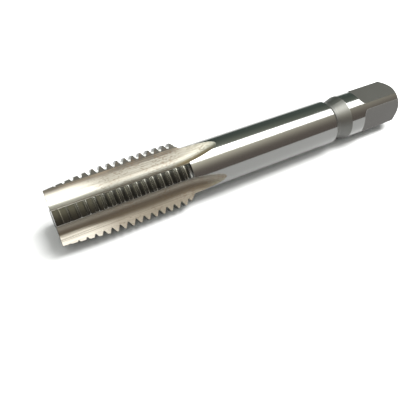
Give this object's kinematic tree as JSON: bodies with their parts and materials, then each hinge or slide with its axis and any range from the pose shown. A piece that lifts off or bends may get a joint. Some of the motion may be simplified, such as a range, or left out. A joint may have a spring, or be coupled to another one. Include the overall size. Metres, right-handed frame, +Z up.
{
  "type": "thread tap",
  "caption": "Straight-fluted thread tap with a tapered lead, coarse right-hand thread, ringed round shank and square driving end.",
  "frame": {"origin": "on the tap's axis, halfway along the plain round shank, 60 mm from the tip's end face", "axes": "+X along the axis from the cutting tip to the square driving end, +Z up with the tap lying on two of its four lands, +Y completing the right-handed frame"},
  "size_m": [0.102, 0.0138, 0.0138],
  "materials": {
    "tool_steel": "ground and polished"
  },
  "bodies": {
    "root": {"thread_tap": "tool_steel"}
  },
  "joints": []
}
